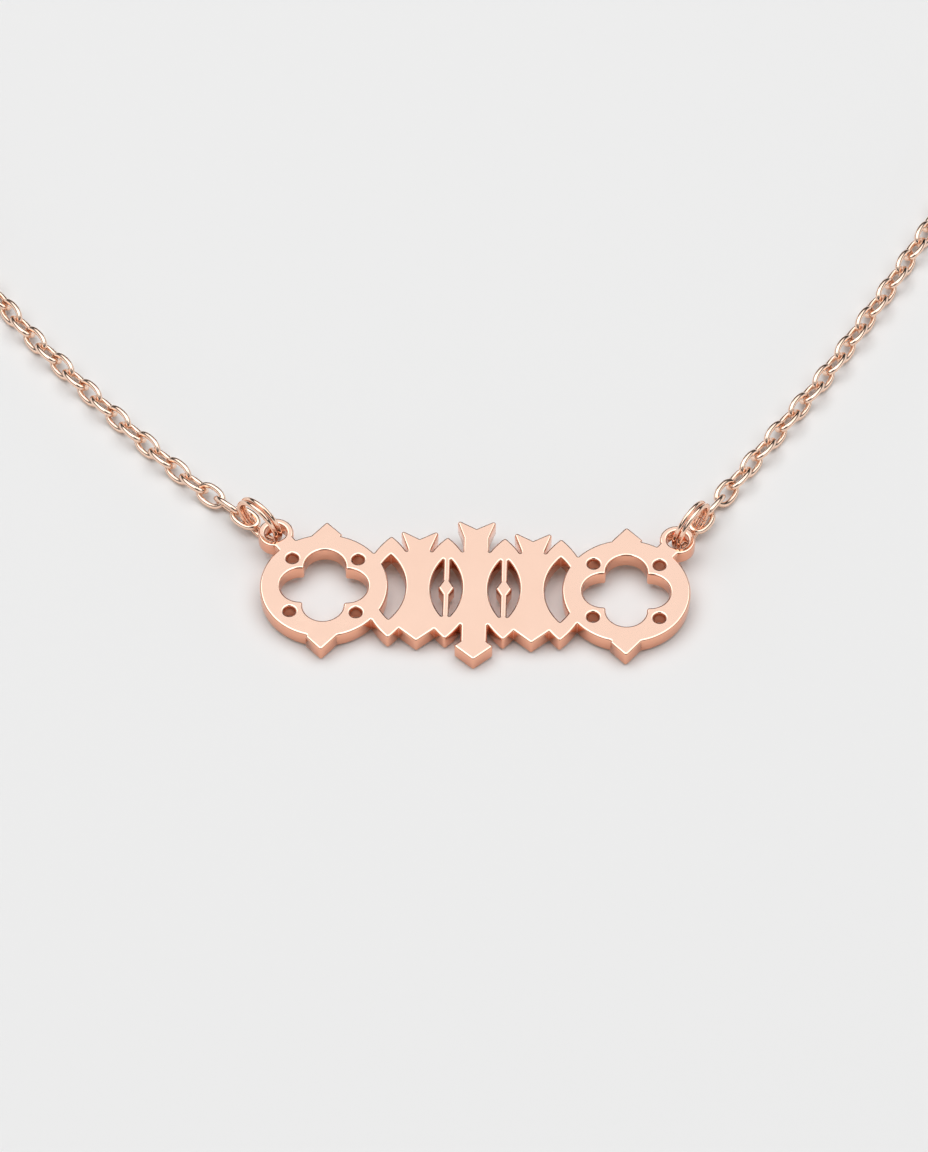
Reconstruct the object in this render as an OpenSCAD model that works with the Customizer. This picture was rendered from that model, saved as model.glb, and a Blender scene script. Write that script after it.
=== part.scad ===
// Nameplate necklace lying flat: a pierced plate between two runs of fine cable chain.
// +X runs from the left ear to the right ear, +Y away from the viewer, +Z up from the table.
// The origin is on the table, under the middle of the whole loop.

/* [Plate] */
// Thickness of the plate
plate_t = 1.6; // [1.3:0.1:1.9]
// Width of the spear in the middle
spear_w = 2.4; // [2:0.1:2.8]
// Height of the spear's tail above the middle of the ornament
spear_up = 8; // [7.4:0.1:8.6]
// Depth of the spear's point below the middle of the ornament
spear_down = 8.2; // [7.6:0.1:8.8]
// Width of the pickets beside the spear
picket_w = 2.3; // [1.9:0.1:2.7]
// Height of a picket's tail above the middle of the ornament
picket_up = 6.7; // [6:0.1:7.2]
// Depth of a picket's foot below the middle of the ornament
picket_down = 6.2; // [5.6:0.1:6.8]
// How far a swallow tail flares past its shaft on each side
tail_flare = 0.75; // [0.4:0.05:1]
// Depth of the notch in a swallow tail
tail_notch = 1.1; // [0.7:0.1:1.5]
// Width of a lozenge foot
foot_w = 3.7; // [3.2:0.1:4.2]
// Height of a lozenge foot
foot_h = 3.2; // [2.8:0.1:3.6]

/* [Windows] */
// Clear width of an almond window
window_w = 2.9; // [2.6:0.1:3.2]
// Clear height of an almond window
window_h = 7.4; // [6.8:0.1:8]
// Width of the band round a window
band_w = 1.1; // [0.9:0.1:1.3]
// Width of the hairline that holds a window's lozenge
hairline_w = 0.6; // [0.5:0.05:0.8]
// Width of the lozenge in a window
lozenge_w = 1.5; // [1.2:0.1:1.7]
// Height of the lozenge in a window
lozenge_h = 2.7; // [2.2:0.1:3.2]

/* [Roundels] */
// Outer diameter of an end roundel
roundel_d = 11.8; // [11.2:0.1:12.4]
// Gap between a picket and a roundel at their nearest
roundel_gap = 1.6; // [1.3:0.1:1.9]
// Diameter of each lobe of the quatrefoil
lobe_d = 3.8; // [3.5:0.1:4]
// Distance of each lobe's centre from the roundel's centre
lobe_out = 2.15; // [2.05:0.05:2.2]
// Diameter of the piercing between two lobes
piercing_d = 1.1; // [0.8:0.1:1.3]
// Distance of a piercing's centre from the roundel's centre
piercing_out = 4.3; // [4.2:0.05:4.5]
// Width of a roundel's crockets
crocket_w = 3; // [2.6:0.1:3.4]
// How far a crocket stands out past the roundel
crocket_out = 1.5; // [1.2:0.1:1.8]

/* [Ears] */
// Outer diameter of an ear
ear_od = 3.3; // [3.2:0.1:3.6]
// Diameter of the hole in an ear
ear_hole = 2; // [2:0.05:2.2]
// Gap between an ear and its roundel, bridged by the neck
ear_gap = 0.1; // [0.05:0.05:0.3]
// Width of an ear's neck
neck_w = 2; // [1.6:0.1:2.4]
// How far the back of an ear is filed down, so that the rings swing clear of what the plate lies on
ear_relief = 0.15; // [0.1:0.05:0.3]
// Direction of an ear from its roundel's centre, above the horizontal
ear_angle = 52; // [46:1:58]

/* [Jump rings] */
// Outer diameter of a jump ring
ring_od = 5.2; // [5:0.1:5.4]
// Wire of a jump ring
ring_wire = 0.4; // [0.36:0.01:0.4]
// Gap between the two rings of a pair
ring_gap = 0.1; // [0.1:0.01:0.12]
// Lean of the rings towards the outside of the loop
ring_lean = 8; // [4:1:10]

/* [Chain] */
// Outer length of a link
link_l = 3.36; // [3.32:0.02:3.4]
// Outer width of a link
link_w = 2.15; // [2.13:0.01:2.2]
// Wire of a link
link_wire = 0.5; // [0.48:0.01:0.51]
// Slack between two hooked links
link_slack = 0.14; // [0.12:0.01:0.18]
// Lean of every second link towards the viewer, as the chain lies on the table
link_lean = 54; // [46:1:60]
// Turn of a link against the next one
link_twist = 90; // [84:1:96]

/* [Clasp] */
// Outer diameter of the clasp's ring
clasp_od = 5.6; // [5:0.1:6.2]
// Wire of the clasp's ring
clasp_wire = 1; // [0.9:0.05:1.1]
// Outer diameter of an eye at each end of the clasp
eye_od = 2.6; // [2.5:0.05:2.8]
// Wire of an eye
eye_wire = 0.55; // [0.5:0.01:0.6]
// How far an eye is let into the clasp's ring
eye_set = 0.5; // [0.45:0.05:0.6]
// Diameter of the clasp's thumb tab
tab_d = 0.9; // [0.7:0.1:1.1]
// How far the thumb tab stands out from the clasp's ring
tab_out = 0.9; // [0.6:0.1:1.2]

/* [Hidden] */

// Clearances of the pieces that hook through each other
ring_play = 0.1;
under_play = 0.15;
hook_play = 0.25;
eye_play = 0.14;
table_play = 0.02;

// The two sides of the necklace
LEFT = -1;
RIGHT = 1;

// Directions in which the chain leaves the ears, and where the clasp lies, from the middle of the ears
lead_left = 138;
lead_right = 56;
clasp_at = [-2, 150];

// Chosen points of the chain's route between its two ends, from the middle of the ears
route_left = [
    [-27.6, 7.9], [-33.8, 14.4], [-39.7, 21.1], [-45.4, 28.2], [-54.5, 42], [-61.8, 58.5], [-66, 77],
    [-66, 96.5], [-60.5, 115], [-50.5, 130.5], [-37, 142], [-22, 148.5]
];
route_right = [
    [28.1, 14.7], [32.7, 22], [37, 29.8], [41.2, 37.8], [49.5, 55], [56, 73], [60, 92], [60, 111],
    [53.5, 129], [41, 142], [24, 149]
];
route_steps = 12;

// Plan of the plate, from the middle of its ornament
window_x = spear_w / 2 + window_w / 2;
picket_x = spear_w / 2 + window_w + picket_w / 2;
side_window_x = picket_x + picket_w / 2 + window_w / 2;
roundel_r = roundel_d / 2;
roundel_x = picket_x + picket_w / 2 + roundel_gap + roundel_r;
ear_reach = roundel_r + ear_gap + ear_od / 2;
ear_x = roundel_x + ear_reach * cos(ear_angle);
ear_up = ear_reach * sin(ear_angle);
neck_root = 1;

// A pair of rings passes through each ear's hole and under its wall
ring_r = (ring_od - ring_wire) / 2;
pair_half = ring_wire + ring_gap / 2;
hole_drift = plate_t * tan(ring_lean) / 2;
hole_reach = sqrt((ear_hole / 2) ^ 2 - (pair_half + hole_drift) ^ 2);
ring_x = ring_od / 2 - hole_reach + ring_play;
ring_z = ring_r * cos(ring_lean) + ring_wire / 2 + (ring_wire + ring_gap) / 2 * sin(ring_lean);
ring_pivot = 1;
ring_y = (ring_z - ring_pivot) * tan(ring_lean);
ear_lift = ring_od / 2 - sqrt((ring_od / 2 - ring_wire - under_play) ^ 2 - (ring_x - hole_reach) ^ 2);
plate_front = ear_up + spear_down;
plate_tilt = asin(ear_lift / plate_front);

// A link is a loop of wire with round ends; every second link is turned by link_twist
link_half_l = (link_l - link_wire) / 2;
link_half_w = (link_w - link_wire) / 2;
link_straight = link_half_l - link_half_w;
link_pitch = link_l - 2 * link_wire - link_slack;
lean_links = 3;

// Height of the run's middle line, so that the steeper of two neighbouring links just clears the table
function lie_height(lean) =
    table_play + link_wire / 2 + link_half_w * max(sin(lean), sin(link_twist - lean));

first_z = lie_height(ring_lean);
ring_inside = ring_od / 2 - ring_wire - hook_play - link_wire / 2;
first_reach = ring_x + sqrt(ring_inside ^ 2 - (ring_od / 2 - first_z) ^ 2) + link_half_l;

// The clasp is a ring with an eye at each end, and the last links hook through the eyes
eye_r = (eye_od - eye_wire) / 2;
eye_x = clasp_od / 2 + eye_od / 2 - eye_set;
eye_inside = eye_r - (eye_wire + link_wire) / 2 - eye_play;
last_reach = eye_x + sqrt(eye_inside ^ 2 - (eye_od / 2 - lie_height(0)) ^ 2) + link_half_l;

function along(angle, reach) = reach * [cos(angle), sin(angle)];

function catmull(a, b, c, d, t) =
    (2 * b + (c - a) * t + (2 * a - 5 * b + 4 * c - d) * t ^ 2 + (3 * b - a - 3 * c + d) * t ^ 3) / 2;

function smooth(points) =
    let(last = len(points) - 1, all = concat([2 * points[0] - points[1]], points,
        [2 * points[last] - points[last - 1]]))
    [
        for (i = [1:last], k = [0:route_steps - 1])
            catmull(all[i - 1], all[i], all[i + 1], all[i + 2], k / route_steps),
        points[last]
    ];

function distances(path) = [
    for (i = 0, s = 0; i < len(path); s = s + (i + 1 < len(path) ? norm(path[i + 1] - path[i]) : 0), i = i + 1)
        s
];

// Lean of the link at this place in the run: less beside the jump rings, none at the clasp
function lean_at(i, count) =
    ring_lean + (link_lean - ring_lean) * min(1, i / lean_links)
        - link_lean * max(0, 1 - (count - 1 - i) / lean_links);

function roll_at(i, count) = lean_at(i, count) - (i % 2) * link_twist;

// Centre of each link: equal steps along the smooth route, an odd number of links on each side
function places(points) =
    let(
        path = smooth(points),
        s = distances(path),
        length = s[len(s) - 1],
        count = 2 * round(length / link_pitch / 2) + 1,
        xs = [for (i = [0:len(s) - 1]) [s[i], path[i][0]]],
        ys = [for (i = [0:len(s) - 1]) [s[i], path[i][1]]]
    )
    [
        for (i = [0:count - 1])
            let(at = length * i / (count - 1))
            [lookup(at, xs), lookup(at, ys), lie_height(lean_at(i, count))]
    ];

links_left = places(concat(
    [[-ear_x, 0] + along(lead_left, first_reach)], route_left, [clasp_at - [last_reach, 0]]));
links_right = places(concat(
    [[ear_x, 0] + along(lead_right, first_reach)], route_right, [clasp_at + [last_reach, 0]]));

// The origin is under the middle of the box round the whole necklace
function reaches(centres, side) = [
    for (i = [0:len(centres) - 1])
        side * centres[i][0] + link_half_w * abs(cos(roll_at(i, len(centres)))) + link_wire / 2
];

loop_left = -max(reaches(links_left, LEFT));
loop_right = max(reaches(links_right, RIGHT));
loop_front = -plate_front * cos(plate_tilt) - plate_t * sin(plate_tilt);
loop_back = clasp_at[1] + clasp_od / 2 + tab_out;
middle = [(loop_left + loop_right) / 2, (loop_front + loop_back) / 2, 0];

// How far a cutter runs past each face of the plate
cut_over = 1;

wire_fn = 24;
bend_fn = 48;
ring_fn = 96;

module placed() {
    translate(-middle)
        children();
}

module torus(outer_d, wire) {
    rotate_extrude($fn = ring_fn)
        translate([(outer_d - wire) / 2, 0])
            circle(d = wire, $fn = wire_fn);
}

// The ornament lies about the middle of the plate, its back at z = 0
module slab() {
    linear_extrude(plate_t)
        children();
}

module ear_slab() {
    translate([0, 0, ear_relief])
        linear_extrude(plate_t - ear_relief)
            children();
}

module cutter() {
    translate([0, 0, -cut_over])
        linear_extrude(plate_t + 2 * cut_over)
            children();
}

module lozenge(w, h) {
    polygon([[-w / 2, 0], [0, h / 2], [w / 2, 0], [0, -h / 2]]);
}

module almond(w, h) {
    bow = (h ^ 2 / w - w) / 4;
    bow_r = w / 2 + bow;
    intersection() {
        translate([bow, 0])
            circle(r = bow_r, $fn = ring_fn);
        translate([-bow, 0])
            circle(r = bow_r, $fn = ring_fn);
    }
}

module shaft(w, up, down) {
    shoulder = up - 2 * tail_notch;
    foot_top = foot_h / 2 * (2 - w / foot_w) - down;
    polygon([
        [0, -down], [foot_w / 2, foot_h / 2 - down], [w / 2, foot_top], [w / 2, shoulder],
        [w / 2 + tail_flare, up], [0, up - tail_notch], [-w / 2 - tail_flare, up],
        [-w / 2, shoulder], [-w / 2, foot_top], [-foot_w / 2, foot_h / 2 - down]
    ]);
}

module window_cutter(x) {
    translate([x, 0, 0])
        cutter()
            difference() {
                almond(window_w, window_h);
                square([hairline_w, window_h + band_w], center = true);
                lozenge(lozenge_w, lozenge_h);
            }
}

module quatrefoil() {
    for (a = [0:90:270])
        rotate(a) {
            cutter()
                translate([lobe_out, 0])
                    circle(d = lobe_d, $fn = bend_fn);
            cutter()
                rotate(45)
                    translate([piercing_out, 0])
                        circle(d = piercing_d, $fn = bend_fn);
        }
    cutter()
        rotate(45)
            square(lobe_out, center = true);
}

module side_silhouette(side) {
    for (x = [window_x, side_window_x])
        translate([side * x, 0, 0])
            slab()
                almond(window_w + 2 * band_w, window_h + 4 * band_w);
    translate([side * picket_x, 0, 0])
        slab()
            shaft(picket_w, picket_up, picket_down);
    translate([side * roundel_x, 0, 0]) {
        slab()
            circle(r = roundel_r, $fn = ring_fn);
        for (end = [-1, 1])
            translate([0, end * (roundel_r + crocket_out - crocket_w / 2), 0])
                slab()
                    lozenge(crocket_w, crocket_w);
        rotate(side == RIGHT ? ear_angle : 180 - ear_angle)
            translate([roundel_r - neck_root, -neck_w / 2, 0])
                ear_slab()
                    square([ear_reach - roundel_r + neck_root, neck_w]);
    }
    translate([side * ear_x, ear_up, 0])
        ear_slab()
            circle(d = ear_od, $fn = bend_fn);
}

module side_openings(side) {
    window_cutter(side * window_x);
    cutter()
        difference() {
            translate([side * side_window_x, 0])
                almond(window_w, window_h);
            translate([side * roundel_x, 0])
                circle(r = roundel_r, $fn = ring_fn);
        }
    translate([side * roundel_x, 0, 0])
        quatrefoil();
    translate([side * ear_x, ear_up, 0])
        cutter()
            circle(d = ear_hole, $fn = bend_fn);
}

module nameplate() {
    color("#eec4ae")
        placed()
            translate([0, 0, ear_lift])
                rotate([plate_tilt, 0, 0])
                    translate([0, -ear_up, 0])
                        difference() {
                            union() {
                                slab()
                                    shaft(spear_w, spear_up, spear_down);
                                side_silhouette(LEFT);
                                side_silhouette(RIGHT);
                            }
                            side_openings(LEFT);
                            side_openings(RIGHT);
                        }
}

// place is 1 for the outer ring of a pair and -1 for the inner one
module jump_ring(side, place) {
    color("#d9a087")
        placed()
            translate([side * ear_x, 0, 0])
                rotate([0, 0, side == RIGHT ? lead_right : lead_left])
                    translate([ring_x, -side * ring_y, ring_z])
                        rotate([side * ring_lean, 0, 0])
                            translate([0, -side * place * (ring_wire + ring_gap) / 2, 0])
                                rotate([90, 0, 0])
                                    torus(ring_od, ring_wire);
}

module link() {
    for (end = [0, 180])
        rotate([0, 0, end]) {
            translate([link_straight, 0, 0])
                rotate_extrude(angle = 180, start = -90, $fn = bend_fn)
                    translate([link_half_w, 0])
                        circle(d = link_wire, $fn = wire_fn);
            translate([-link_straight, link_half_w, 0])
                rotate([0, 90, 0])
                    cylinder(d = link_wire, h = 2 * link_straight, $fn = wire_fn);
        }
}

module chain(centres, side) {
    count = len(centres);
    color("#e0ab8c")
        placed()
            for (i = [0:count - 1]) {
                run = centres[min(i + 1, count - 1)] - centres[max(i - 1, 0)];
                rise = atan2(run[2], norm([run[0], run[1]]));
                translate(centres[i])
                    rotate([side * roll_at(i, count), -rise, atan2(run[1], run[0])])
                        link();
            }
}

module clasp() {
    color("#d9a087")
        placed()
            translate([clasp_at[0], clasp_at[1], 0]) {
                translate([0, 0, clasp_wire / 2])
                    torus(clasp_od, clasp_wire);
                for (side = [LEFT, RIGHT])
                    translate([side * eye_x, 0, eye_od / 2])
                        rotate([90, 0, 0])
                            torus(eye_od, eye_wire);
                translate([0, (clasp_od - clasp_wire) / 2, clasp_wire / 2])
                    rotate([-90, 0, 0])
                        cylinder(d = tab_d, h = clasp_wire / 2 + tab_out, $fn = wire_fn);
            }
}

nameplate();
jump_ring(LEFT, -1);  // jump_ring_left_inner
jump_ring(LEFT, 1);  // jump_ring_left_outer
jump_ring(RIGHT, -1);  // jump_ring_right_inner
jump_ring(RIGHT, 1);  // jump_ring_right_outer
chain(links_left, LEFT);  // chain_left
chain(links_right, RIGHT);  // chain_right
clasp();
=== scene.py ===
"""The looks of a rose gold necklace on a pale table: a pierced plate between two runs of cable chain.

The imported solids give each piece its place. Shapes are worked out in millimetres, and MM turns them
into Blender's metres.
"""

import math

import bpy
import numpy as np
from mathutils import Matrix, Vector
from mathutils.geometry import delaunay_2d_cdt


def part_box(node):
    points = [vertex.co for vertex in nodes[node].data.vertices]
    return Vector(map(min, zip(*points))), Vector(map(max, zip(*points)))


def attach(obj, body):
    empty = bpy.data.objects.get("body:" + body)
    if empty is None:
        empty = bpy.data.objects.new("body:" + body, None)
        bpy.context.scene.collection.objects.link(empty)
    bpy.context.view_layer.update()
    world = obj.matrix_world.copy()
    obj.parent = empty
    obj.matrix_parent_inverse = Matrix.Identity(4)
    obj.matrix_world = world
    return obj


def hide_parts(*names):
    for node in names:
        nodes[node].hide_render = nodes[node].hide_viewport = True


MM = 0.001

# The camera's place, worked out from the chain's and the plate's foreshortening, its lens, and how
# near and far it sees in metres
CAMERA_TARGET = Vector((1.88, -72.65, 0)) * MM
CAMERA_ELEVATION = math.radians(49.5)
CAMERA_YAW = math.radians(1.398)
CAMERA_DISTANCE = 463 * MM
CAMERA_LENS = 156.25
SENSOR_WIDTH = 36
NEAREST_SEEN = 0.01
FARTHEST_SEEN = 20

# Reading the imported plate: decimals that tell points apart, the least upward share of its face's
# normals, how near the top its face lies, and the least distance between points of its outline
WELD_DECIMALS = 4
FACE_UPWARD = 0.95
FACE_DEPTH = 0.01
LEAST_APART = 1e-7

# Stands in for a length of nothing where something is divided by it
TINY = 1e-12

# The plate's rims, as polishing leaves them: a quarter round and a flat strip inside it
RIM_RADIUS = 0.18
RIM_STEPS = 5
RIM_SUPPORT = 0.04

# The plate's rounded corners, and the share of the stretch beside a corner that the round may take
OUTER_CORNER = 0.23
INNER_CORNER = 0.06
CORNER_STEPS = 6
CORNER_ROOM = 0.45

# Turns and lengths that tell corners, arcs and straight stretches of the plate's outline apart
CORNER_TURN = math.radians(25)
STRAIGHT_TURN = math.radians(0.4)
STRAIGHT_LENGTH = 1.6
ARC_TURN = math.radians(4)

# Where the plate's back is filed down: the least and most height of its lower edge there, and how much
# nearer than the level edge that one has to be
FILED_LEAST = 0.05
FILED_MOST = 0.4
FILED_NEARER = 0.05

# The links, each an oval loop of wire
LINK_LENGTH = 3.38
LINK_WIDTH = 2.15
LINK_WIRE = 0.54
LINK_ROUNDNESS = 2.25
LINK_STEPS = 32
LINK_SIDES = 14
LINK_ROLL = math.radians(1)
CHAIN_SEEDS = {"left": 11, "right": 12}

# The jump rings, each with the seam where it was closed
RING_OUTER = 5.2
RING_WIRE = 0.46
RING_STEPS = 120
RING_SIDES = 16
RING_SEAM = math.radians(0.7)
RING_SEAM_AT = math.radians(205)
SEAM_BEVEL = 0.025

# The clasp's ring and the eyes at its ends
CLASP_OUTER = 5.6
CLASP_WIRE = 1.0
CLASP_STEPS = 96
CLASP_SIDES = 24
EYE_OUTER = 2.6
EYE_WIRE = 0.55
EYE_SET = 0.5
EYE_STEPS = 56
EYE_SIDES = 16

# The clasp's thumb tab. Its grip has the distance from the ring and the share of the tab's width there.
TAB_WIDTH = 0.9
TAB_OUT = 0.9
TAB_EDGE = 0.2
TAB_EDGE_STEPS = 6
TAB_SIDES = 28
TAB_GRIP = [(0.1, 1), (0.22, 0.82), (0.4, 0.82), (0.52, 1)]

# The metals. Each has two tones of plating and the deeper tone of its upright sides, a painted shade
# that on the plate also stands for the sawn sides' deeper plating, its least and most roughness, the
# depth of its waves and grain in metres, and how level a face has to be for the first trace of the
# plating's tone and for all of it.
METALS = {
    "plate_gold": {
        "pale": (0.955, 0.665, 0.53),
        "deep": (0.945, 0.65, 0.515),
        "upright": (0.9, 0.46, 0.31),
        "roughness": (0.05, 0.09),
        "wave_depth": 1.2e-6,
        "grain_depth": 3e-8,
        "level": (0.45, 0.93),
    },
    "chain_gold": {
        "pale": (0.96, 0.73, 0.59),
        "deep": (0.94, 0.69, 0.55),
        "upright": (0.94, 0.64, 0.48),
        "roughness": (0.13, 0.19),
        "wave_depth": 2e-6,
        "grain_depth": 6e-8,
        "level": (0.15, 0.7),
    },
    "ring_gold": {
        "pale": (0.95, 0.69, 0.55),
        "deep": (0.93, 0.65, 0.5),
        "upright": (0.9, 0.55, 0.39),
        "roughness": (0.1, 0.15),
        "wave_depth": 1.5e-6,
        "grain_depth": 5e-8,
        "level": (0.15, 0.7),
    },
}

# The noises that vary the metals, as cells to a metre, detail and distortion, and the part of their
# range that is used
TONE_NOISE = (160, 3, 0)
POLISH_NOISE = (520, 4, 0.6)
WAVE_NOISE = (420, 1, 0)
GRAIN_NOISE = (9000, 5, 1.5)
NOISE_RANGE = (0.35, 0.65)

# The table top, with its reach in metres and its drop below the necklace in millimetres
BOARD_REACH = 1.6
BOARD_DROP = 0.01
BOARD_COLOUR = (0.9, 0.9, 0.898)
BOARD_ROUGHNESS = 0.7
BOARD_GLOSS = 0.15

# Radiance of the light tent by height of the direction, from the horizon at 0 to straight up at 1
SKY = [
    (0, 1.05),
    (0.26, 0.9),
    (0.34, 0.07),
    (0.61, 0.07),
    (0.69, 1.35),
    (0.76, 1.02),
    (0.9, 1.02),
    (0.96, 1.3),
    (1, 1.3),
]

# The tent's dark patches, the hole for the lens and the open side beyond the necklace. Each has its
# azimuth and elevation, its half angle and its soft edge in degrees, and the share of light left there.
DARK_PATCHES = [(180, 55, 18, 4, 0.05), (0, 8, 32, 6, 0.1)]

# The soft boxes by azimuth in degrees and radiance. Both have this elevation, and this distance and
# size in metres.
SOFT_BOXES = {"soft_box_left": (-68, 1.05), "soft_box_right": (68, 0.78)}
SOFT_BOX_ELEVATION = 66
SOFT_BOX_DISTANCE = 0.9
SOFT_BOX_SIZE = (0.9, 0.6)

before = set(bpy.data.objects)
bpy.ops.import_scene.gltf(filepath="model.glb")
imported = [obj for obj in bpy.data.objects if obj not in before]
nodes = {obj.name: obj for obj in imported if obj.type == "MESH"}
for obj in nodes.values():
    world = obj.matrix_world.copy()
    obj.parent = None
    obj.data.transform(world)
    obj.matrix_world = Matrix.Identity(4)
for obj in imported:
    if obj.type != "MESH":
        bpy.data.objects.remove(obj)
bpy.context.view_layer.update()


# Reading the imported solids


def triangles_of(name):
    """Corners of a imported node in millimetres, each place once, and its triangles."""
    mesh = nodes[name].data
    mesh.calc_loop_triangles()
    places = np.empty(len(mesh.vertices) * 3)
    mesh.vertices.foreach_get("co", places)
    corners = np.empty(len(mesh.loop_triangles) * 3, int)
    mesh.loop_triangles.foreach_get("vertices", corners)
    points, weld = np.unique(
        np.round(places.reshape(-1, 3) / MM, WELD_DECIMALS), axis=0, return_inverse=True
    )
    triangles = weld.reshape(-1)[corners].reshape(-1, 3)
    a, b, c = triangles.T
    return points, triangles[(a != b) & (b != c) & (c != a)]


def face_normals(points, triangles):
    """Unit normals and areas of the triangles."""
    a, b, c = (points[triangles[:, k]] for k in range(3))
    cross = np.cross(b - a, c - a)
    size = np.linalg.norm(cross, axis=1)
    return cross / np.maximum(size, TINY)[:, None], size / 2


def solids_of(name):
    """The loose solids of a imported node: each one's middle, and its long, wide and thin directions."""
    points, triangles = triangles_of(name)
    label = np.arange(len(points))
    while True:
        low = label[triangles].min(axis=1)
        lower = label.copy()
        for k in range(3):
            np.minimum.at(lower, triangles[:, k], low)
        lower = lower[lower]
        if (lower == label).all():
            break
        label = lower
    areas = face_normals(points, triangles)[1]
    middles = points[triangles].mean(axis=1)
    owner = label[triangles[:, 0]]
    found = []
    for solid in np.unique(owner):
        mine = owner == solid
        weight = areas[mine] / areas[mine].sum()
        centre = weight @ middles[mine]
        spread = middles[mine] - centre
        directions = np.linalg.eigh((spread * weight[:, None]).T @ spread)[1]
        long, wide = directions[:, 2], directions[:, 1]
        found.append((centre, long, wide, np.cross(long, wide)))
    return found


# Making meshes


def new_piece(name, points, faces, slot, stands_for):
    """One piece from points in millimetres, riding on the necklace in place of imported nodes."""
    mesh = bpy.data.meshes.new(name)
    mesh.from_pydata([tuple(p * MM) for p in np.asarray(points)], [], faces)
    mesh.validate()
    mesh.shade_smooth()
    mesh.materials.append(golds[slot])
    piece = bpy.data.objects.new(name, mesh)
    bpy.context.scene.collection.objects.link(piece)
    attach(piece, "root")
    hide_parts(*stands_for)


def grid_faces(rows, columns, closed_rows, start=0):
    """Quads between rows of points, where the points of a row close on themselves."""
    faces = []
    for i in range(rows if closed_rows else rows - 1):
        here, after = start + i * columns, start + (i + 1) % rows * columns
        for k in range(columns):
            m = (k + 1) % columns
            faces.append((here + k, here + m, after + m, after + k))
    return faces


def turned_over(faces):
    """The faces with their other side outwards."""
    return [tuple(reversed(face)) for face in faces]


def wire_loop(path, across, radius, sides):
    """Points and quads of a wire along a closed path, whose plane has the given normal."""
    ahead = np.roll(path, -1, axis=0) - np.roll(path, 1, axis=0)
    ahead /= np.linalg.norm(ahead, axis=1)[:, None]
    out = np.cross(ahead, across)
    turn = np.arange(sides) * 2 * math.pi / sides
    points = (
        path[:, None]
        + radius * np.cos(turn)[None, :, None] * out[:, None]
        + radius * np.sin(turn)[None, :, None] * np.asarray(across)[None, None]
    )
    return points.reshape(-1, 3), turned_over(grid_faces(len(path), sides, True))


def joined(parts):
    """Several lots of points and faces as one lot."""
    points, faces, count = [], [], 0
    for some, theirs in parts:
        points.append(some)
        faces.extend(tuple(v + count for v in face) for face in theirs)
        count += len(some)
    return np.vstack(points), faces


# The plate


def outline_loops(points, triangles):
    """The plate's own directions, its least and most height, and its face's outline as closed loops."""
    normals, areas = face_normals(points, triangles)
    upward = normals[:, 2] > FACE_UPWARD
    up = (normals[upward] * areas[upward, None]).sum(axis=0)
    up /= np.linalg.norm(up)
    right = np.array([1.0, 0, 0]) - up * up[0]
    right /= np.linalg.norm(right)
    back = np.cross(up, right)
    height = points @ up
    top = height.max()
    face = triangles[(height[triangles] > top - FACE_DEPTH).all(axis=1)]
    edges = {(int(t[k]), int(t[(k + 1) % 3])) for t in face for k in range(3)}
    follow = {}
    for a, b in edges:
        if (b, a) not in edges:
            follow.setdefault(a, []).append(b)
    flat = np.stack([points @ right, points @ back], axis=1)
    loops = []
    while follow:
        start = next(iter(follow))
        loop, here = [], start
        while here in follow:
            loop.append(flat[here])
            after = follow[here].pop()
            if not follow[here]:
                del follow[here]
            here = after
            if here == start:
                break
        loops.append(np.array(loop))
    return (right, back, up), height.min(), top, loops


def turns(loop):
    """Angle by which the loop turns left at each point, and the length of the stretch after it."""
    after = np.roll(loop, -1, axis=0) - loop
    before = np.roll(after, 1, axis=0)
    cross = before[:, 0] * after[:, 1] - before[:, 1] * after[:, 0]
    return np.arctan2(cross, (before * after).sum(axis=1)), np.linalg.norm(after, axis=1)


def turned(vector, angle):
    """The flat vector turned left by the angle."""
    c, s = math.cos(angle), math.sin(angle)
    return np.array([c * vector[0] - s * vector[1], s * vector[0] + c * vector[1]])


def without_straights(loop):
    """The loop without the points at which it doesn't turn."""
    while True:
        keep = np.abs(turns(loop)[0]) > STRAIGHT_TURN
        if keep.all():
            return loop
        loop = loop[keep]


def with_arcs(loop):
    """The loop with points added along its arcs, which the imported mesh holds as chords."""
    angle, ahead = turns(loop)
    behind = np.roll(ahead, 1)
    made = []
    # Each turn within an arc is shared between the chords beside it, by their lengths
    lean_out, lean_in = [None] * len(loop), [None] * len(loop)
    for i, (turn, after, before) in enumerate(zip(angle, ahead, behind)):
        straight = after > STRAIGHT_LENGTH, before > STRAIGHT_LENGTH
        if abs(turn) > CORNER_TURN or all(straight):
            continue
        share = 0 if straight[0] else 1 if straight[1] else after / (after + before)
        lean_out[i], lean_in[i] = turn * share, turn * (1 - share)
    for i, start in enumerate(loop):
        j = (i + 1) % len(loop)
        made.append(start)
        leave, arrive = lean_out[i], lean_in[j]
        if leave is None and arrive is None:
            continue
        leave = arrive if leave is None else leave
        arrive = leave if arrive is None else arrive
        chord = loop[j] - start
        first, last = turned(chord, -leave), turned(chord, arrive)
        steps = math.ceil((abs(leave) + abs(arrive)) / ARC_TURN)
        for s in np.arange(1, steps) / max(steps, 1):
            made.append(
                start
                + chord * (3 * s**2 - 2 * s**3)
                + first * (s**3 - 2 * s**2 + s)
                + last * (s**3 - s**2)
            )
    return np.array(made)


def walk(points, start, step, reach):
    """The first point farther than reach along the loop, as an index, and the place at that reach."""
    count, gone, here = len(points), 0.0, start
    while True:
        after = (here + step) % count
        length = np.linalg.norm(points[after] - points[here])
        if gone + length >= reach:
            return after, points[here] + (points[after] - points[here]) * (reach - gone) / length
        gone, here = gone + length, after


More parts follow.
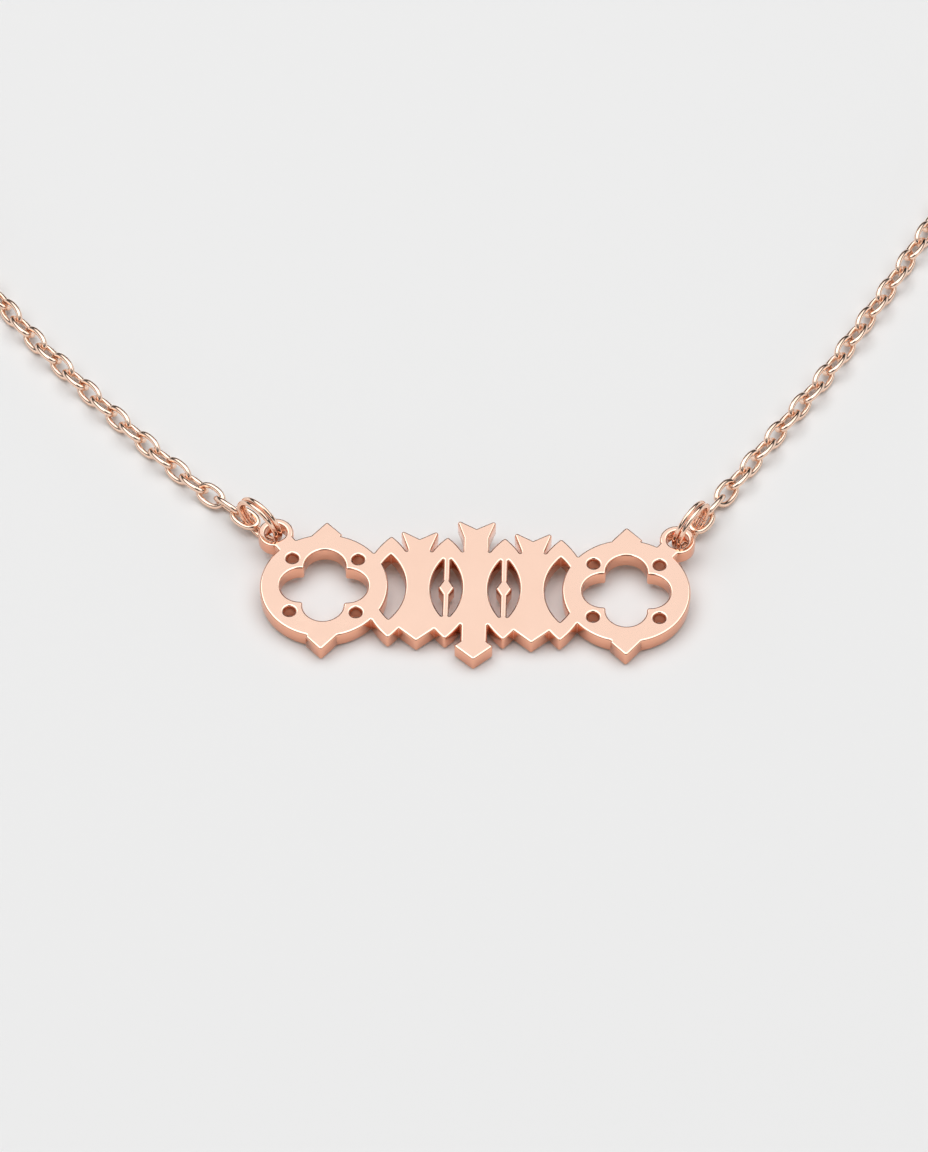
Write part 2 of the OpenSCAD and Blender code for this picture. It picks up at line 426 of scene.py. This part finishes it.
def rounded(loop):
    """The loop with its corners rounded."""
    points = with_arcs(without_straights(loop))
    angle, lengths = turns(points)
    count = len(points)
    corners = np.flatnonzero(np.abs(angle) > CORNER_TURN)
    gone = np.concatenate([[0], np.cumsum(lengths)])
    room = (gone[np.roll(corners, -1)] - gone[corners]) % gone[-1]
    dropped, arcs = set(), {}
    for i, ahead, behind in zip(corners, room, np.roll(room, 1)):
        half = (math.pi - abs(angle[i])) / 2
        reach = (OUTER_CORNER if angle[i] > 0 else INNER_CORNER) / math.tan(half)
        if len(corners) > 1:
            reach = min(reach, CORNER_ROOM * ahead, CORNER_ROOM * behind)
        radius = reach * math.tan(half)
        last, start = walk(points, i, -1, reach)
        first, end = walk(points, i, 1, reach)
        k = (last + 1) % count
        while k != first:
            dropped.add(k)
            k = (k + 1) % count
        to_start, to_end = start - points[i], end - points[i]
        middle = to_start / np.linalg.norm(to_start) + to_end / np.linalg.norm(to_end)
        middle /= np.linalg.norm(middle)
        centre = points[i] + middle * radius / math.sin(half)
        spoke = start - centre
        arcs[int(i)] = [
            centre + turned(spoke, angle[i] * s / CORNER_STEPS) for s in range(CORNER_STEPS + 1)
        ]
    made = []
    for i in range(count):
        if i in arcs:
            made.extend(arcs[i])
        elif i not in dropped:
            made.append(points[i])
    return steady(np.array(made))


def steady(loop):
    """The loop without the points that would turn back on themselves once moved into the metal."""
    while True:
        moved = inset(loop, RIM_RADIUS + RIM_SUPPORT)
        before, after = np.roll(loop, -1, axis=0) - loop, np.roll(moved, -1, axis=0) - moved
        back = (before * after).sum(axis=1) < 0
        if not back.any():
            return loop
        loop = np.delete(loop, np.flatnonzero(back)[0], axis=0)


def inset(loop, distance):
    """The loop moved into the metal, which lies to its left."""
    after = np.roll(loop, -1, axis=0) - loop
    after /= np.linalg.norm(after, axis=1)[:, None]
    left = np.stack([-after[:, 1], after[:, 0]], axis=1)
    before = np.roll(left, 1, axis=0)
    share = 1 + (left * before).sum(axis=1)
    return loop + distance * (left + before) / share[:, None]


def flat_triangles(loops, points):
    """Triangles of the metal between the loops, anticlockwise, as indices of the points."""
    edges, start = [], 0
    for loop in loops:
        edges.extend((start + k, start + (k + 1) % len(loop)) for k in range(len(loop)))
        start += len(loop)
    made = delaunay_2d_cdt([Vector(p) for p in points], edges, [], 0, LEAST_APART)
    corners, own = np.array([tuple(v) for v in made[0]]), [ids[0] for ids in made[3]]
    tail, head = points[[e[0] for e in edges]], points[[e[1] for e in edges]]
    found = []
    for face in made[2]:
        a, b, c = corners[list(face)]
        x, y = (a + b + c) / 3
        crossed = (tail[:, 1] > y) != (head[:, 1] > y)
        low, high = tail[crossed], head[crossed]
        meets = low[:, 0] + (y - low[:, 1]) * (high[:, 0] - low[:, 0]) / (high[:, 1] - low[:, 1])
        # A place in the metal has an odd number of edges to its right
        if (meets > x).sum() % 2 == 0:
            continue
        turn = (b[0] - a[0]) * (c[1] - a[1]) - (b[1] - a[1]) * (c[0] - a[0])
        face = [own[v] for v in face]
        found.append(tuple(face if turn > 0 else reversed(face)))
    return found


def back_of(points, right, back, up, bottom):
    """A function that gives the height of the plate's back below points of its outline."""
    height = points @ up - bottom
    flat = np.stack([points @ right, points @ back], axis=1)
    is_relief = (height > FILED_LEAST) & (height < FILED_MOST)
    level, filed = flat[height < FILED_LEAST], flat[is_relief]
    relief = np.median(height[is_relief])

    def nearest(loop, places):
        return np.linalg.norm(loop[:, None] - places[None], axis=2).min(axis=1)

    def heights(loop):
        is_filed = nearest(loop, filed) < nearest(loop, level) - FILED_NEARER
        return bottom + np.where(is_filed, relief, 0)

    return heights


def plate_mesh():
    """The plate with polished rims: walls, rounded rims and two flat faces from its outline."""
    points, triangles = triangles_of("nameplate")
    (right, back, up), bottom, top, loops = outline_loops(points, triangles)
    back_height = back_of(points, right, back, up, bottom)
    loops = [rounded(loop) for loop in loops]
    angles = [k * math.pi / 2 / RIM_STEPS for k in range(RIM_STEPS + 1)]
    rim = [(RIM_RADIUS * (1 - math.cos(a)), RIM_RADIUS * (1 - math.sin(a))) for a in angles]
    support = RIM_RADIUS + RIM_SUPPORT
    # Rows of points from the back to the face: distance into the metal, rise, and whether on the back
    rows = [(support, 0, True), *((d, h, True) for d, h in reversed(rim))]
    rows += [*((d, -h, False) for d, h in rim), (support, 0, False)]
    made, faces, edge_loops, starts = [], [], [], []
    count = 0
    for loop in loops:
        starts.append(count)
        lowest = back_height(loop)
        for distance, rise, is_back in rows:
            flat = inset(loop, distance)
            height = (lowest if is_back else np.full(len(loop), top)) + rise
            made.append(flat[:, :1] * right + flat[:, 1:] * back + height[:, None] * up)
        faces.extend(grid_faces(len(rows), len(loop), False, count))
        edge_loops.append(inset(loop, support))
        count += len(rows) * len(loop)
    back_index, face_index = [], []
    for start, loop in zip(starts, edge_loops):
        back_index.extend(start + k for k in range(len(loop)))
        face_index.extend(start + (len(rows) - 1) * len(loop) + k for k in range(len(loop)))
    for a, b, c in flat_triangles(edge_loops, np.vstack(edge_loops)):
        faces.append(tuple(face_index[v] for v in (a, b, c)))
        faces.append(tuple(back_index[v] for v in (c, b, a)))
    return np.vstack(made), faces


# The wires


def link_path():
    """The oval of one link's wire, about the origin."""
    turn = np.arange(LINK_STEPS) * 2 * math.pi / LINK_STEPS
    c, s = np.cos(turn), np.sin(turn)
    power = 2 / LINK_ROUNDNESS
    x = (LINK_LENGTH - LINK_WIRE) / 2 * np.sign(c) * np.abs(c) ** power
    y = (LINK_WIDTH - LINK_WIRE) / 2 * np.sign(s) * np.abs(s) ** power
    return np.stack([x, y, np.zeros(LINK_STEPS)], axis=1)


def chain_mesh(name, seed):
    """One oval link on each imported link, each rolled a little its own way."""
    chance = np.random.default_rng(seed)
    shape, faces = wire_loop(link_path(), (0, 0, 1), LINK_WIRE / 2, LINK_SIDES)
    parts = []
    for centre, long, wide, thin in solids_of(name):
        roll = chance.normal(0, LINK_ROLL)
        side = math.cos(roll) * wide + math.sin(roll) * thin
        axes = np.stack([long, side, np.cross(long, side)])
        link = shape @ axes + centre
        link[:, 2] -= min(link[:, 2].min(), 0)
        parts.append((link, faces))
    return joined(parts)


def ring_mesh(name):
    """A jump ring of round wire with the hairline seam where it was closed."""
    centre, _, _, across = solids_of(name)[0]
    lean = across if across[2] > 0 else -across
    upright = np.array([0, 0, 1.0]) - lean * lean[2]
    upright /= np.linalg.norm(upright)
    level = np.cross(upright, lean)
    radius = (RING_OUTER - RING_WIRE) / 2
    wire = RING_WIRE / 2
    ends = RING_SEAM / 2, 2 * math.pi - RING_SEAM / 2
    bevel = SEAM_BEVEL / radius
    stops = [(ends[0], wire - SEAM_BEVEL)]
    stops += [(s, wire) for s in np.linspace(ends[0] + bevel, ends[1] - bevel, RING_STEPS - 2)]
    stops.append((ends[1], wire - SEAM_BEVEL))
    turn = np.arange(RING_SIDES) * 2 * math.pi / RING_SIDES
    points = []
    for stop, thick in stops:
        out = math.cos(RING_SEAM_AT + stop) * level + math.sin(RING_SEAM_AT + stop) * upright
        for a in turn:
            distance = radius + thick * math.cos(a)
            points.append(centre + distance * out + thick * math.sin(a) * lean)
    faces = grid_faces(RING_STEPS, RING_SIDES, False)
    last = (RING_STEPS - 1) * RING_SIDES
    faces.append(tuple(reversed(range(RING_SIDES))))
    faces.append(tuple(last + k for k in range(RING_SIDES)))
    return np.array(points), turned_over(faces)


def circle_path(centre, radius, first, second, steps):
    """Points round a circle that lies in the plane of two directions."""
    turn = np.arange(steps) * 2 * math.pi / steps
    return (
        np.asarray(centre)
        + radius * np.cos(turn)[:, None] * np.asarray(first)
        + radius * np.sin(turn)[:, None] * np.asarray(second)
    )


def lathe(profile, centre, along, side, steps):
    """A closed solid of revolution. Its profile has the distance along the axis and the radius there."""
    third = np.cross(along, side)
    turn = np.arange(steps) * 2 * math.pi / steps
    spokes = np.cos(turn)[:, None] * side + np.sin(turn)[:, None] * third
    rings = [centre + d * along + r * spokes for d, r in profile[1:-1]]
    points = np.vstack([*rings, centre + profile[0][0] * along, centre + profile[-1][0] * along])
    faces = grid_faces(len(rings), steps, False)
    low, high, last = len(rings) * steps, len(rings) * steps + 1, (len(rings) - 1) * steps
    for k in range(steps):
        m = (k + 1) % steps
        faces.append((m, k, low))
        faces.append((last + k, last + m, high))
    return points, faces


def clasp_mesh():
    """The clasp's ring, an eye at each end and a thumb tab with a rounded end."""
    low, high = (np.array(corner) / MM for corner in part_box("clasp"))
    x, y = (low[0] + high[0]) / 2, low[1] + CLASP_OUTER / 2
    radius = (CLASP_OUTER - CLASP_WIRE) / 2
    wire = CLASP_WIRE / 2
    x_axis, y_axis, z_axis = np.eye(3)
    ring = circle_path((x, y, wire), radius, x_axis, y_axis, CLASP_STEPS)
    parts = [wire_loop(ring, z_axis, wire, CLASP_SIDES)]
    eye_out = CLASP_OUTER / 2 + EYE_OUTER / 2 - EYE_SET
    for side in (-1, 1):
        middle = (x + side * eye_out, y, EYE_OUTER / 2)
        eye = circle_path(middle, (EYE_OUTER - EYE_WIRE) / 2, x_axis, z_axis, EYE_STEPS)
        parts.append(wire_loop(eye, -y_axis, EYE_WIRE / 2, EYE_SIDES))
    tab_radius, tab_end = TAB_WIDTH / 2, wire + TAB_OUT
    tab = [(0, 0), (0, tab_radius), *((wire + d, tab_radius * share) for d, share in TAB_GRIP)]
    for a in np.linspace(0, math.pi / 2, TAB_EDGE_STEPS):
        worn = TAB_EDGE * (1 - math.sin(a)), TAB_EDGE * (1 - math.cos(a))
        tab.append((tab_end - worn[0], tab_radius - worn[1]))
    tab.append((tab_end, 0))
    parts.append(lathe(tab, np.array((x, y + radius, wire)), y_axis, x_axis, TAB_SIDES))
    return joined(parts)


# Materials


def map_range(tree, source, reads, gives, interpolation="LINEAR"):
    """The socket of a node that turns one range of values into another."""
    node = tree.nodes.new("ShaderNodeMapRange")
    node.interpolation_type = interpolation
    for label, value in zip(("From Min", "From Max", "To Min", "To Max"), (*reads, *gives)):
        node.inputs[label].default_value = value
    tree.links.new(source, node.inputs["Value"])
    return node.outputs["Result"]


def metal(name, pale, deep, upright, roughness, wave_depth, grain_depth, level):
    """Polished rose gold with uneven plating and polish, faint waves, fine grain and painted shade on
    upright faces.
    """
    material = bpy.data.materials.new(name)
    material.use_nodes = True
    tree = material.node_tree
    shader = tree.nodes["Principled BSDF"]
    shader.inputs["Metallic"].default_value = 1
    coordinates = tree.nodes.new("ShaderNodeTexCoord").outputs

    def noise(scale, detail, distortion):
        node = tree.nodes.new("ShaderNodeTexNoise")
        node.inputs["Scale"].default_value = scale
        node.inputs["Detail"].default_value = detail
        node.inputs["Distortion"].default_value = distortion
        tree.links.new(coordinates["Object"], node.inputs["Vector"])
        return node.outputs["Fac"]

    def mix(share, first, second):
        node = tree.nodes.new("ShaderNodeMix")
        node.data_type = "RGBA"
        tree.links.new(share, node.inputs["Factor"])
        node.inputs["A"].default_value = (*first, 1)
        if isinstance(second, tuple):
            node.inputs["B"].default_value = (*second, 1)
        else:
            tree.links.new(second, node.inputs["B"])
        return node.outputs["Result"]

    def bump(height, depth):
        node = tree.nodes.new("ShaderNodeBump")
        node.inputs["Strength"].default_value = 1
        node.inputs["Distance"].default_value = depth
        tree.links.new(height, node.inputs["Height"])
        return node

    plating = mix(map_range(tree, noise(*TONE_NOISE), NOISE_RANGE, (0, 1)), pale, deep)
    # Upright faces take the deeper tone, painted shade for the darker reflections their sides catch;
    # level faces keep the plating's tone
    facing = tree.nodes.new("ShaderNodeSeparateXYZ")
    tree.links.new(coordinates["Normal"], facing.inputs["Vector"])
    levelness = tree.nodes.new("ShaderNodeMath")
    levelness.operation = "ABSOLUTE"
    tree.links.new(facing.outputs["Z"], levelness.inputs[0])
    unshaded = map_range(tree, levelness.outputs[0], level, (0, 1), "SMOOTHSTEP")
    tree.links.new(mix(unshaded, upright, plating), shader.inputs["Base Color"])
    polish = map_range(tree, noise(*POLISH_NOISE), NOISE_RANGE, roughness)
    tree.links.new(polish, shader.inputs["Roughness"])
    waves = bump(noise(*WAVE_NOISE), wave_depth)
    grain = bump(noise(*GRAIN_NOISE), grain_depth)
    tree.links.new(waves.outputs["Normal"], grain.inputs["Normal"])
    tree.links.new(grain.outputs["Normal"], shader.inputs["Normal"])
    return material


golds = {name: metal(name, **look) for name, look in METALS.items()}


# The necklace

new_piece("openwork_plate", *plate_mesh(), "plate_gold", ["nameplate"])
for side, seed in CHAIN_SEEDS.items():
    node = f"chain_{side}"
    new_piece(f"cable_chain_{side}", *chain_mesh(node, seed), "chain_gold", [node])
for side in ("left", "right"):
    for place in ("inner", "outer"):
        node = f"jump_ring_{side}_{place}"
        new_piece(f"wire_ring_{side}_{place}", *ring_mesh(node), "ring_gold", [node])
new_piece("ring_clasp", *clasp_mesh(), "ring_gold", ["clasp"])


# The table, the light and the camera


def table_top():
    """The pale board that the necklace lies on."""
    mesh = bpy.data.meshes.new("table")
    corners = [(-1, -1), (1, -1), (1, 1), (-1, 1)]
    mesh.from_pydata([(x * BOARD_REACH, y * BOARD_REACH, 0) for x, y in corners], [], [(0, 1, 2, 3)])
    material = bpy.data.materials.new("pale_board")
    material.use_nodes = True
    shader = material.node_tree.nodes["Principled BSDF"]
    shader.inputs["Base Color"].default_value = (*BOARD_COLOUR, 1)
    shader.inputs["Roughness"].default_value = BOARD_ROUGHNESS
    shader.inputs["Specular IOR Level"].default_value = BOARD_GLOSS
    mesh.materials.append(material)
    board = bpy.data.objects.new("table", mesh)
    board.location.z = -BOARD_DROP * MM
    bpy.context.scene.collection.objects.link(board)


def direction(azimuth, elevation):
    """The unit vector at angles in degrees. Azimuth 0 lies beyond the necklace, 90 to its right."""
    a, e = math.radians(azimuth), math.radians(elevation)
    return Vector((math.sin(a) * math.cos(e), math.cos(a) * math.cos(e), math.sin(e)))


def soft_box(name, azimuth, radiance):
    """A soft box that faces the plate."""
    away = direction(azimuth, SOFT_BOX_ELEVATION)
    width, height = SOFT_BOX_SIZE
    light = bpy.data.lights.new(name, "AREA")
    light.shape = "RECTANGLE"
    light.size, light.size_y = width, height
    light.energy = radiance * math.pi * width * height
    box = bpy.data.objects.new(name, light)
    box.location = CAMERA_TARGET + away * SOFT_BOX_DISTANCE
    box.rotation_euler = away.to_track_quat("Z", "Y").to_euler()
    box.visible_camera = False
    bpy.context.scene.collection.objects.link(box)


def light_tent():
    """The world: a tent of light by height, with its dark patches."""
    world = bpy.data.worlds.new("studio")
    world.use_nodes = True
    tree = world.node_tree
    background = tree.nodes["Background"]
    place = tree.nodes.new("ShaderNodeTexCoord").outputs["Generated"]
    parts = tree.nodes.new("ShaderNodeSeparateXYZ")
    ramp = tree.nodes.new("ShaderNodeValToRGB")
    brightest = max(level for _, level in SKY)
    stops = ramp.color_ramp.elements
    for height, _ in SKY[1:-1]:
        stops.new(height)
    for stop, (height, level) in zip(stops, SKY):
        stop.position = height
        stop.color = (*[level / brightest] * 3, 1)
    tree.links.new(place, parts.inputs["Vector"])
    tree.links.new(parts.outputs["Z"], ramp.inputs["Fac"])
    colour = ramp.outputs["Color"]
    for azimuth, elevation, angle, edge, left in DARK_PATCHES:
        near = tree.nodes.new("ShaderNodeVectorMath")
        near.operation = "DOT_PRODUCT"
        near.inputs[1].default_value = direction(azimuth, elevation)
        tree.links.new(place, near.inputs[0])
        reads = math.cos(math.radians(angle + edge)), math.cos(math.radians(angle))
        share = map_range(tree, near.outputs["Value"], reads, (1, left))
        dimmed = tree.nodes.new("ShaderNodeVectorMath")
        dimmed.operation = "SCALE"
        tree.links.new(colour, dimmed.inputs[0])
        tree.links.new(share, dimmed.inputs["Scale"])
        colour = dimmed.outputs["Vector"]
    tree.links.new(colour, background.inputs["Color"])
    background.inputs["Strength"].default_value = brightest
    bpy.context.scene.world = world


def photo_camera():
    """The camera at the photograph's place."""
    ahead = Vector((-math.sin(CAMERA_YAW), math.cos(CAMERA_YAW), 0))
    back = -ahead * math.cos(CAMERA_ELEVATION) + Vector((0, 0, math.sin(CAMERA_ELEVATION)))
    lens = bpy.data.cameras.new("camera")
    lens.lens = CAMERA_LENS
    lens.sensor_width = SENSOR_WIDTH
    lens.clip_start, lens.clip_end = NEAREST_SEEN, FARTHEST_SEEN
    camera = bpy.data.objects.new("camera", lens)
    camera.location = CAMERA_TARGET + back * CAMERA_DISTANCE
    camera.rotation_euler = back.to_track_quat("Z", "Y").to_euler()
    bpy.context.scene.collection.objects.link(camera)
    bpy.context.scene.camera = camera


table_top()
light_tent()
for name, (azimuth, radiance) in SOFT_BOXES.items():
    soft_box(name, azimuth, radiance)
photo_camera()
bpy.context.scene.view_settings.view_transform = "Standard"
